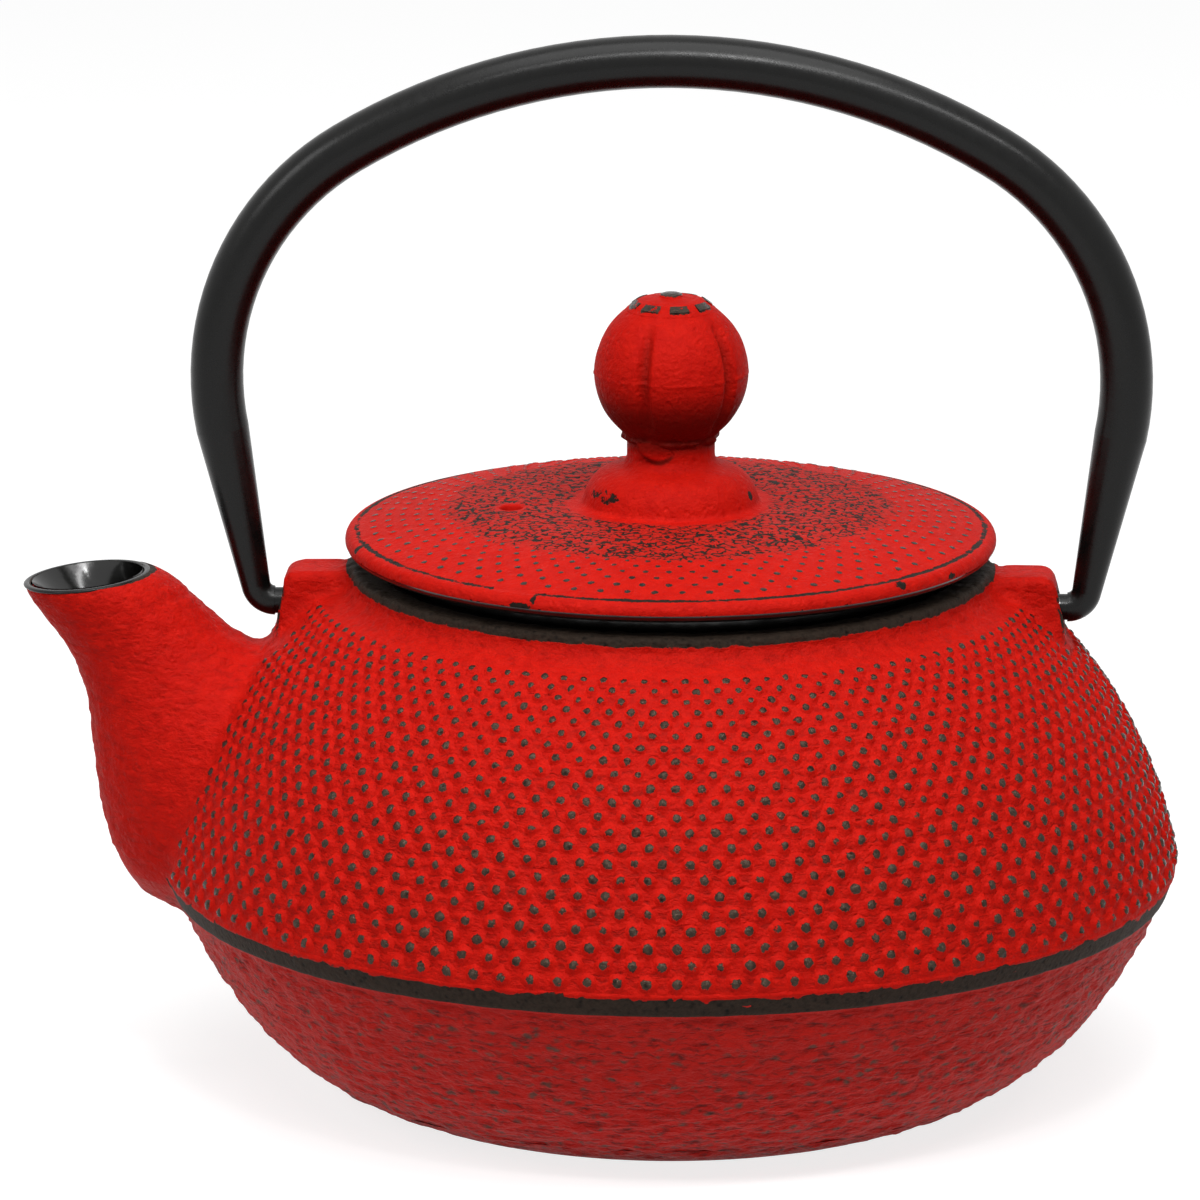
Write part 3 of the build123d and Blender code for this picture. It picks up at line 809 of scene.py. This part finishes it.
def ridge_band():
    """Worn bevel of bare iron round the widest part, broken by the spout."""
    outline = [
        (RIDGE_RADIUS - 0.0026, BAND_LOW - 0.0003),
        (RIDGE_RADIUS - 0.00125, BAND_LOW - 0.0001),
        (RIDGE_RADIUS - 0.00095, BAND_LOW + 0.0003),
        (RIDGE_RADIUS - 0.0006, BAND_LOW + 0.0013),
        (RIDGE_RADIUS - 0.00025, BAND_TOP - 0.0006),
        (RIDGE_RADIUS - 0.00012, BAND_TOP - 0.0002),
        (RIDGE_RADIUS + 0.00010, BAND_TOP + 0.0001),
        (RIDGE_RADIUS + 0.00010, BAND_TOP + 0.0004),
        (RIDGE_RADIUS - 0.0001, BAND_TOP + 0.0008),
        (RIDGE_RADIUS - 0.0009, BAND_TOP + 0.0010),
        (RIDGE_RADIUS - 0.0026, BAND_LOW - 0.0003),
    ]
    piece = turned("ridge_band", outline, 640)
    cut_away(piece, lambda centre, normal: centre.x < 0 and abs(centre.y) < HEEL_HALF_WIDTH - 0.0015)
    roughen(piece, "CLOUDS", 0.012, 0.00020, noise_depth=2)
    roughen(piece, "CLOUDS", 0.0024, 0.00016, noise_depth=1)

    def amount(point, normal):
        uneven = 0.0006 * noise.noise(point * 330.0) + 0.0005 * noise.noise(point * 1100.0)
        return ramp(point.z + uneven, BAND_TOP + 0.0003, BAND_TOP - 0.0005)

    wear(piece, amount)
    smooth(piece, 50)
    return finish_piece(piece, "pot", RED_IRON)


def lip_ring():
    """Rounded black lip round the spout's mouth."""
    bpy.ops.object.select_all(action="DESELECT")
    bpy.ops.mesh.primitive_torus_add(
        major_segments=96, minor_segments=16, major_radius=MOUTH_RADIUS - 0.00060, minor_radius=0.00055
    )
    piece = bpy.context.object
    piece.name = "spout_lip"
    edit(piece)
    bpy.ops.transform.resize(value=(1, 1, 0.55))
    bpy.ops.transform.rotate(
        value=MOUTH_TILT, orient_axis="Y", orient_type="GLOBAL", center_override=(0, 0, 0)
    )
    bpy.ops.transform.translate(value=SPOUT_LINE[-1] - 0.0003 * MOUTH_AXIS)
    done()
    smooth(piece, 180)
    return finish_piece(piece, "pot", SATIN_BLACK)


# Nails

def hobnail(name, outline, worn):
    """One cast nail of eight sides, whose tip is worn bare."""
    piece = turned(name, outline, 8)
    radii = sorted((radius, bare) for (radius, height), bare in zip(outline, worn))

    def amount(point, normal):
        radius = hypot(point.x, point.y)
        return min(radii, key=lambda pair: abs(pair[0] - radius))[1]

    wear(piece, amount)
    return piece


def nail_field(name, rows, per_row, nail, kept, seed, lumps):
    """Staggered rows of nails, each standing on a face of a turned sheet that lies on the casting."""
    sheet = turned(name + "_sheet", rows, 2 * per_row)
    middles = [((a[0] + b[0]) / 2, (a[1] + b[1]) / 2) for a, b in zip(rows, rows[1:])]

    def spare(centre, normal):
        radius = hypot(centre.x, centre.y)
        row = min(range(len(middles)), key=lambda k: hypot(radius - middles[k][0], centre.z - middles[k][1]))
        column = floor(atan2(centre.y, centre.x) * per_row / pi)
        return (row + column) % 2 == 1 or not kept(centre)

    cut_away(sheet, spare)
    nail.parent = sheet
    sheet.instance_type = "FACES"
    sheet.use_instance_faces_scale = True
    only(sheet)
    there = set(bpy.data.objects)
    bpy.ops.object.duplicates_make_real()
    made = [piece for piece in bpy.data.objects if piece not in there]
    bpy.ops.object.select_all(action="DESELECT")
    bpy.ops.mesh.primitive_plane_add(size=0.001)
    holder = bpy.context.object
    edit(holder)
    bpy.ops.mesh.delete(type="VERT")
    done()
    piece = join([holder] + sorted(made, key=lambda each: each.name), name)
    points = len(nail.data.vertices)
    bpy.data.objects.remove(sheet)
    bpy.data.objects.remove(nail)
    chance = Random(seed)
    layer = piece.data.attributes["worn"].data
    share = 1.0
    for index in range(len(piece.data.vertices)):
        if index % points == 0:
            share = chance.uniform(*NAIL_WEAR)
        layer[index].value *= share
    roughen(piece, "CLOUDS", 0.0011, lumps, noise_depth=1)
    smooth(piece, 180)
    return piece


def shoulder_nails():
    """Rows of nails from the collar down to the ridge, stopping short of the spout and the ears."""
    height = TOP_NAIL_ROW
    rows = []
    while height > LOWEST_NAIL_ROW:
        radius = pot_radius(height)
        rows.append((radius, height))
        pitch = 2 * pi * radius / NAILS_PER_ROW
        slope = (pot_radius(height - 0.001) - radius) / 0.001
        height -= NAIL_ROW_PITCH * pitch / hypot(1, slope)
    nail = hobnail(
        "nail",
        [(0.78, -0.07), (0.54, 0.05), (0.36, 0.20), (0.22, 0.30), (0.0, 0.33)],
        [0.0, 0.05, 0.34, 0.66, 0.82],
    )

    def kept(centre):
        clear_of_spout = centre.x > -0.030 or gap_to("spout", centre) > NAILS_CLEAR_OF_SPOUT
        ears = min(gap_to("spout_side_ear", centre), gap_to("far_side_ear", centre))
        in_notch = centre.x < -0.055 and abs(centre.y) < 0.011 and centre.z > 0.061
        return clear_of_spout and ears > NAILS_CLEAR_OF_EARS and not in_notch

    piece = nail_field("shoulder_nails", rows, NAILS_PER_ROW, nail, kept, 11, 0.00050)
    return finish_piece(piece, "pot", NAILED_IRON)


# Lid and knob

def lid_height(radius):
    """Height of the lid's top at a radius, felt from above at the back."""
    hit, place, normal, face = nodes["lid"].ray_cast(Vector((0, radius, 0.2)), Vector((0, 0, -1)))
    return place.z


def angle_between(point, turn):
    """Degrees from a turn about the Z axis to a point, from 0 to 180."""
    apart = (degrees(atan2(point.y, point.x)) - turn) % 360
    return min(apart, 360 - apart)


def lid_wear(point, normal):
    """A worn line on the lid's edge, and the chips and scuffs of use."""
    radius = hypot(point.x, point.y)
    if radius < BOSS_RADIUS:
        aside = point - BOSS_SCUFF
        scuff = 0.57 * ramp(hypot(0.75 * aside.x, 0.75 * aside.y, 2.6 * aside.z), 0.0040, 0.0018)
        return max(scuff, ramp((point - BOSS_PIT).length, 0.0011, 0.0004))
    if radius < LID_WEAR_FROM:
        return 0.0
    worn = 0.0
    if point.z > LID_LINE_FROM and angle_between(point, LID_LINE_GAP) > LID_LINE_GAP_HALF_WIDTH:
        patchy = 0.70 + 0.35 * noise.noise(point * 90.0)
        worn = max(worn, patchy * ramp(abs(radius - LID_EDGE_RADIUS), 0.0008, 0.0002))
    for turn, height, half_length, half_height in LID_CHIPS:
        along = radians(angle_between(point, turn)) * radius / half_length
        away = hypot(along, (point.z - height) / half_height)
        worn = max(worn, 0.85 * ramp(away, 1.5, 0.2))
    return worn


def crackled(point, normal=None):
    """Strong on the crackled ring of the lid, and nothing round its vent."""
    radius = hypot(point.x, point.y)
    ragged = 0.0016 * noise.noise(point * 260.0)
    ring = ramp(radius + ragged, *CRACKLE_INNER) * ramp(radius + ragged, *CRACKLE_OUTER)
    return ring * ramp(hypot(point.x - VENT.x, point.y - VENT.y), *VENT_CLEAR)


def paint_run():
    """Paint that has run down the front of the lid's neck."""
    bpy.ops.object.select_all(action="DESELECT")
    bpy.ops.mesh.primitive_uv_sphere_add(segments=24, ring_count=12, radius=0.001, location=PAINT_RUN)
    piece = bpy.context.object
    piece.name = "paint_run"
    edit(piece)
    bpy.ops.transform.resize(value=(3.4, 0.45, 2.6), center_override=PAINT_RUN)
    done()
    bpy.ops.object.transform_apply(location=True, rotation=True, scale=True)
    return piece


def neck_painted_shade(point, normal):
    """Painted shade on the neck under the ball, and a painted shadow as a dark crescent in the crease under
    the paint run.
    """
    if hypot(point.x, point.y) > NECK_RADIUS:
        return 0.0
    shade = 0.70 * ramp(point.z, 0.0992, 0.1012)
    aside = (point.x - PAINT_RUN.x) / PAINT_RUN_HALF_WIDTH
    if point.y > 0 or abs(aside) > 1:
        return shade
    crease = PAINT_RUN.z - 0.0008 - 0.0018 * (1 - aside * aside)
    crescent = 0.90 * ramp(abs(point.z - crease), 0.0006, 0.0002) * ramp(abs(aside), 1.0, 0.6)
    return max(shade, crescent)


def lid_piece():
    """Top of the lid: a rounded rim with a worn edge, a crackled ring, and a plain boss with its neck."""
    piece = join([merged_copy("lid", "lid_shell"), paint_run()], "lid_shell")
    apply(piece, "REMESH", mode="VOXEL", voxel_size=LID_NET)

    def not_top(centre, normal):
        beneath = centre.z < LID_TOP_FROM or (normal.z < -0.2 and centre.z < DOME_INSIDE)
        return beneath or hypot(centre.x, centre.y) < NECK_BORE or centre.z > NECK_TOP

    def boss_foot(point):
        return ramp(abs(hypot(point.x, point.y) - BOSS_FOOT_RADIUS), 0.0024, 0.0006)

    def neck_foot(point):
        near = ramp(abs(hypot(point.x, point.y) - NECK_FOOT_RADIUS), 0.0022, 0.0010)
        return near * ramp(point.z, 0.0988, 0.0980)

    cut_away(piece, not_top)
    weigh(piece, "boss foot", boss_foot)
    apply(piece, "SMOOTH", factor=0.5, iterations=24, vertex_group="boss foot")
    weigh(piece, "neck foot", neck_foot)
    apply(piece, "SMOOTH", factor=0.5, iterations=20, vertex_group="neck foot")

    weigh(piece, "wrinkles", crackled)
    weigh(piece, "sand", lambda point: ramp(hypot(point.x, point.y), 0.0490, 0.0470))
    roughen(piece, "CLOUDS", 0.0014, 0.00032, "wrinkles", noise_depth=1)
    roughen(piece, "CLOUDS", 0.0050, 0.00012, "sand", noise_depth=2)
    wear(piece, lid_wear)
    wear(piece, crackled, "marked")
    # Painted shade under the ball and a painted shadow under the paint run.
    wear(piece, neck_painted_shade, "dusky")
    smooth(piece, 180)
    return finish_piece(piece, "lid", CRACKLED_IRON)


def lid_underside():
    """Black enamelled underside of the lid, with its flange."""
    piece = merged_copy("lid", "lid_underside")

    def not_underside(centre, normal):
        return centre.z > LID_UNDERSIDE_TO and normal.z > -0.2 and hypot(centre.x, centre.y) > NECK_BORE

    cut_away(piece, not_underside)
    smooth(piece)
    return finish_piece(piece, "lid", BLACK_ENAMEL)


def lid_nails():
    """Flat worn nails in staggered rows inside the lid's edge."""
    rows = [(radius, lid_height(radius)) for radius in LID_NAIL_RADII]
    nail = hobnail(
        "lid_nail",
        [(0.44, -0.03), (0.33, 0.02), (0.24, 0.06), (0.15, 0.08), (0.0, 0.085)],
        [0.0, 0.10, 0.45, 0.80, 0.90],
    )
    piece = nail_field("lid_nails", rows, LID_NAILS_PER_ROW, nail, lambda centre: True, 23, 0.00012)
    return finish_piece(piece, "lid", DOTTED_IRON)


def knob_flash():
    """Ragged flash of iron that the mould left where the ball meets its neck."""
    outline = [
        (0.0058, 0.1006), (0.0067, 0.1010), (0.0074, 0.1016),
        (0.0072, 0.1022), (0.0058, 0.1029), (0.0058, 0.1006),
    ]
    piece = turned("knob_flash", outline, 96)
    roughen(piece, "CLOUDS", 0.0020, 0.0016, noise_depth=2)
    return piece


def knob_piece():
    """Grooved ball with its mould seam and the flash under it, and painted shade in its grooves and on its
    lower half.
    """
    piece = join([merged_copy("lid_knob", "knob_casting"), knob_flash()], "knob_casting")
    apply(piece, "REMESH", mode="VOXEL", voxel_size=KNOB_NET)

    def under_rosette(centre, normal):
        return centre.z > CROWN_FROM and hypot(centre.x, centre.y) < ROSETTE_RADIUS - 0.0003

    def valley(point):
        apart = min(angle_between(point, GROOVE_TURN + turn * 360 / GROOVES) for turn in range(GROOVES))
        return ramp(apart, GROOVE_HALF_WIDTH, 0.0) * ramp(abs(point.z - BALL_CENTRE), 0.0100, 0.0030)

    def seam(point):
        patchy = 0.65 + 0.5 * noise.noise(point * 300.0)
        return patchy * ramp(abs(point.z - BALL_CENTRE), 0.0004, 0.0001)

    # Painted shade: darker in the grooves and on the lower half of the ball.
    def knob_painted_shade(point, normal):
        under = 0.85 * ramp(point.z, BALL_CENTRE + 0.0006, BALL_CENTRE - 0.0065)
        return max(0.55 * valley(point), under)

    cut_away(piece, under_rosette)
    weigh(piece, "cut grooves", lambda point: 1.0 if abs(point.z - BALL_CENTRE) < 0.0092 else 0.0)
    apply(piece, "SMOOTH", factor=0.5, iterations=40, vertex_group="cut grooves")
    weigh(piece, "valleys", valley)
    apply(piece, "DISPLACE", strength=-GROOVE_DEPTH, mid_level=0.0, vertex_group="valleys")
    apply(piece, "SMOOTH", factor=0.5, iterations=4, vertex_group="valleys")
    weigh(piece, "seam", seam)
    apply(piece, "DISPLACE", strength=SEAM_HEIGHT, mid_level=0.0, vertex_group="seam")
    roughen(piece, "CLOUDS", 0.0034, 0.00012, noise_depth=2)
    wear(piece, lambda point, normal: 0.0)
    wear(piece, knob_painted_shade, "dusky")
    smooth(piece, 180)
    return finish_piece(piece, "lid", RED_IRON)


def knob_rosette():
    """Raised crown of the knob: eight worn pads between red ribs, round a worn button."""
    outline = [
        (0.0058, 0.1203), (ROSETTE_RADIUS, 0.1211), (0.00685, 0.1214), (0.00620, 0.12190), (0.00570, 0.12230),
        (0.00520, 0.12265), (0.0047, 0.12285), (0.0041, 0.1230), (0.0021, 0.1232), (0.0018, 0.1233),
        (0.0016, 0.1237), (0.0010, 0.1239), (0.0, 0.1240),
    ]
    piece = turned("knob_rosette", outline, 144)

    def on_pad(point, spare=0.0):
        apart = min(angle_between(point, PAD_TURN + pad * 360 / PADS) for pad in range(PADS))
        inside = PAD_INNER - spare < hypot(point.x, point.y) < PAD_OUTER + spare
        return inside and apart < PAD_WIDTH / 2

    pick_faces(piece, lambda centre, normal: on_pad(centre))
    bpy.ops.mesh.extrude_region_shrink_fatten(TRANSFORM_OT_shrink_fatten={"value": PAD_HEIGHT})
    done()
    roughen(piece, "CLOUDS", 0.0016, 0.00010, noise_depth=1)

    def amount(point, normal):
        if hypot(point.x, point.y) < BUTTON_RADIUS:
            return 0.80
        return 0.66 if on_pad(point, 0.0002) else 0.0

    wear(piece, amount)
    smooth(piece, 40)
    return finish_piece(piece, "lid", NAILED_IRON)


# Infuser

def woven_tube():
    """Wire mesh of the infuser's wall."""
    low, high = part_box("infuser_wall")
    radius = high.x - 0.00025
    bpy.ops.object.select_all(action="DESELECT")
    bpy.ops.mesh.primitive_cylinder_add(
        vertices=WIRES_ROUND_WALL, radius=radius, depth=high.z - low.z, end_fill_type="NOTHING",
        location=(0, 0, (low.z + high.z) / 2),
    )
    piece = bpy.context.object
    piece.name = "infuser_mesh"
    only(piece)
    bpy.ops.object.transform_apply(location=True, rotation=True, scale=True)
    pick_faces(piece, lambda centre, normal: True)
    bpy.ops.mesh.select_all(action="DESELECT")
    done()
    for edge in piece.data.edges:
        ends = [piece.data.vertices[index].co.z for index in edge.vertices]
        edge.select = abs(ends[0] - ends[1]) > 0.01
    bpy.ops.object.mode_set(mode="EDIT")
    bpy.ops.mesh.select_mode(type="EDGE")
    bpy.ops.mesh.subdivide(number_cuts=WIRES_UP_WALL)
    done()
    apply(piece, "WIREFRAME", thickness=WIRE, use_even_offset=True, use_replace=True)
    smooth(piece, 60)
    return finish_piece(piece, "infuser", MESH_STEEL)


def woven_floor():
    """Wire mesh of the infuser's floor."""
    low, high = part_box("infuser_floor")
    radius = high.x
    bpy.ops.object.select_all(action="DESELECT")
    bpy.ops.mesh.primitive_grid_add(
        x_subdivisions=WIRES_ACROSS_FLOOR, y_subdivisions=WIRES_ACROSS_FLOOR, size=2 * radius,
        location=(0, 0, (low.z + high.z) / 2),
    )
    piece = bpy.context.object
    piece.name = "infuser_mesh_floor"
    only(piece)
    bpy.ops.object.transform_apply(location=True, rotation=True, scale=True)
    cut_away(piece, lambda centre, normal: hypot(centre.x, centre.y) > radius - 0.0012)
    apply(piece, "WIREFRAME", thickness=WIRE, use_even_offset=True, use_replace=True)
    smooth(piece, 60)
    return finish_piece(piece, "infuser", MESH_STEEL)


def dress_cad_nodes():
    """Finishes for the nodes whose own shape is shown."""
    for name, material in (
        ("bail_handle", SATIN_BLACK),
        ("infuser_rim", STEEL),
        ("infuser_hoop", STEEL),
        ("knob_screw", STEEL),
        ("knob_washer", STEEL),
    ):
        nodes[name].data.materials.clear()
        nodes[name].data.materials.append(material)


# Studio

def seen_by_eye(tree):
    """1 for rays that the eye follows: straight, mirrored or through glass."""
    rays = node(tree, "ShaderNodeLightPath")
    mirrored = reckon(tree, "MAXIMUM", rays.outputs["Is Glossy Ray"], rays.outputs["Is Transmission Ray"])
    return reckon(tree, "MAXIMUM", rays.outputs["Is Camera Ray"], mirrored)


def studio_floor():
    """Pale floor that reads as white and keeps a soft shadow."""
    bpy.ops.object.select_all(action="DESELECT")
    bpy.ops.mesh.primitive_plane_add(size=12, location=(0, 0, 0))
    floor_sheet = bpy.context.object
    floor_sheet.name = "studio_floor"
    material = bpy.data.materials.new("pale floor")
    material.use_nodes = True
    tree = material.node_tree
    tree.nodes.clear()
    seen = seen_by_eye(tree)
    place = node(tree, "ShaderNodeTexCoord").outputs["Object"]
    away = node(tree, "ShaderNodeVectorMath", {0: place}, operation="LENGTH").outputs["Value"]
    tone = spread(tree, away, 0.68, 0.10, 0.10, 0.42)
    plain = node(tree, "ShaderNodeBsdfDiffuse", {"Color": tone})
    soft = node(tree, "ShaderNodeBsdfDiffuse", {"Color": (0.42, 0.42, 0.42, 1)})
    white = node(tree, "ShaderNodeEmission", {"Color": (1, 1, 1, 1), "Strength": 0.80})
    shown = node(tree, "ShaderNodeAddShader", {0: soft.outputs[0], 1: white.outputs[0]})
    both = node(tree, "ShaderNodeMixShader", {0: seen, 1: plain.outputs[0], 2: shown.outputs[0]})
    node(tree, "ShaderNodeOutputMaterial", {"Surface": both.outputs[0]})
    floor_sheet.data.materials.append(material)


def studio_world():
    """White surroundings for the eye and for reflections, and a plain fill for the rest."""
    world = bpy.data.worlds.new("studio")
    bpy.context.scene.world = world
    world.use_nodes = True
    tree = world.node_tree
    tree.nodes.clear()
    fill = node(tree, "ShaderNodeBackground", {"Color": (1, 1, 1, 1), "Strength": 0.05})
    white = node(tree, "ShaderNodeBackground", {"Color": (1, 1, 1, 1), "Strength": 1.0})
    both = node(tree, "ShaderNodeMixShader", {0: seen_by_eye(tree), 1: fill.outputs[0], 2: white.outputs[0]})
    node(tree, "ShaderNodeOutputWorld", {"Surface": both.outputs[0]})


def softbox(name, place, aim, width, height, power):
    """A soft rectangular lamp that looks at a point."""
    lamp = bpy.data.lights.new(name, "AREA")
    lamp.shape = "RECTANGLE"
    lamp.size = width
    lamp.size_y = height
    lamp.energy = power
    box = bpy.data.objects.new(name, lamp)
    bpy.context.scene.collection.objects.link(box)
    box.location = place
    box.rotation_mode = "QUATERNION"
    box.rotation_quaternion = (Vector(aim) - Vector(place)).to_track_quat("-Z", "Y")


def studio_lights():
    """A strip in front, a small lamp for glints, a large box overhead and a weaker one on the left."""
    middle = (0, 0, 0.06)
    softbox("front strip", (0.25, -0.75, 1.13), middle, 1.40, 0.13, 8.6)
    softbox("spark", (0.09, -0.86, 1.02), middle, 0.12, 0.12, 2.5)
    softbox("overhead", (0, -0.20, 1.38), middle, 1.10, 0.95, 10)
    softbox("left", (-1.1, -0.60, 0.95), middle, 0.5, 0.5, 3.8)


def photo_camera():
    """The photograph's view: from the front, a little right of square and from above."""
    pitch = radians(13.74)
    yaw = radians(2.1)
    distance = 1.5
    back = Vector((sin(yaw) * cos(pitch), -cos(yaw) * cos(pitch), sin(pitch)))
    right = Vector((cos(yaw), sin(yaw), 0))
    up = back.cross(right)
    aim = Vector((0, 0, 0.060)) - 0.0108 * right + 0.01538 * up
    lens = bpy.data.cameras.new("photo camera")
    lens.sensor_width = 36
    lens.lens = 293.54
    lens.clip_end = 100
    camera = bpy.data.objects.new("photo camera", lens)
    bpy.context.scene.collection.objects.link(camera)
    camera.location = aim + distance * back
    camera.rotation_mode = "QUATERNION"
    camera.rotation_quaternion = (-back).to_track_quat("-Z", "Y")
    bpy.context.scene.camera = camera


bpy.context.scene.view_settings.view_transform = "Standard"
bowl, shoulder = pot_shells()
pot_pieces = [
    bowl_piece(bowl),
    shoulder_piece(shoulder),
    shoulder_nails(),
    pot_inside(),
    ridge_band(),
    lip_ring(),
]
for piece in pot_pieces:
    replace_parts(piece, *POT_NODES)
lid_pieces = [lid_piece(), lid_underside(), lid_nails()]
for piece in lid_pieces:
    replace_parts(piece, "lid")
for piece in (knob_piece(), knob_rosette()):
    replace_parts(piece, "lid_knob")
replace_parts(woven_tube(), "infuser_wall")
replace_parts(woven_floor(), "infuser_floor")
dress_cad_nodes()
studio_floor()
studio_world()
studio_lights()
photo_camera()
